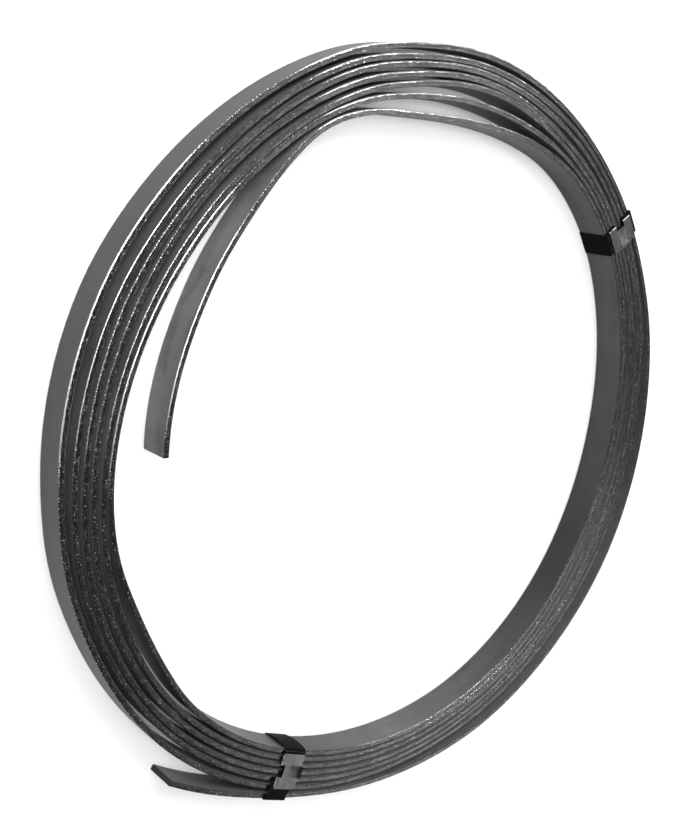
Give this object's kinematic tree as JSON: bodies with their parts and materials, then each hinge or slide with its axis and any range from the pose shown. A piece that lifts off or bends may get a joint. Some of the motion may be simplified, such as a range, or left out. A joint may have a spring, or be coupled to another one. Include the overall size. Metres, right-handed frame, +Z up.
{
  "type": "coil of galvanised flat steel strip",
  "caption": "Loose spiral coil of flat galvanised steel strip lying on its side, tied with crimped black steel straps.",
  "frame": {"origin": "on the floor, under the middle of the box round the coil", "axes": "+Z up along the coil's axis, which passes 9 mm to the -X side and 5 mm to the +Y side of the origin; +X points from the origin towards the right-hand strap's side of the coil"},
  "size_m": [0.5477, 0.5438, 0.0294],
  "materials": {
    "galvanised_strip": "dull hot-dip zinc coat with fine dark speckle and bright worn arrises",
    "black_strapping": "black painted steel strapping, satin",
    "galvanised_seal": "bright zinc-coated folded sheet, crimped"
  },
  "bodies": {
    "root": {"strip": "galvanised_strip", "right_strap": "black_strapping", "bottom_strap": "black_strapping", "right_seal": "galvanised_seal", "bottom_seal": "galvanised_seal"}
  },
  "joints": []
}
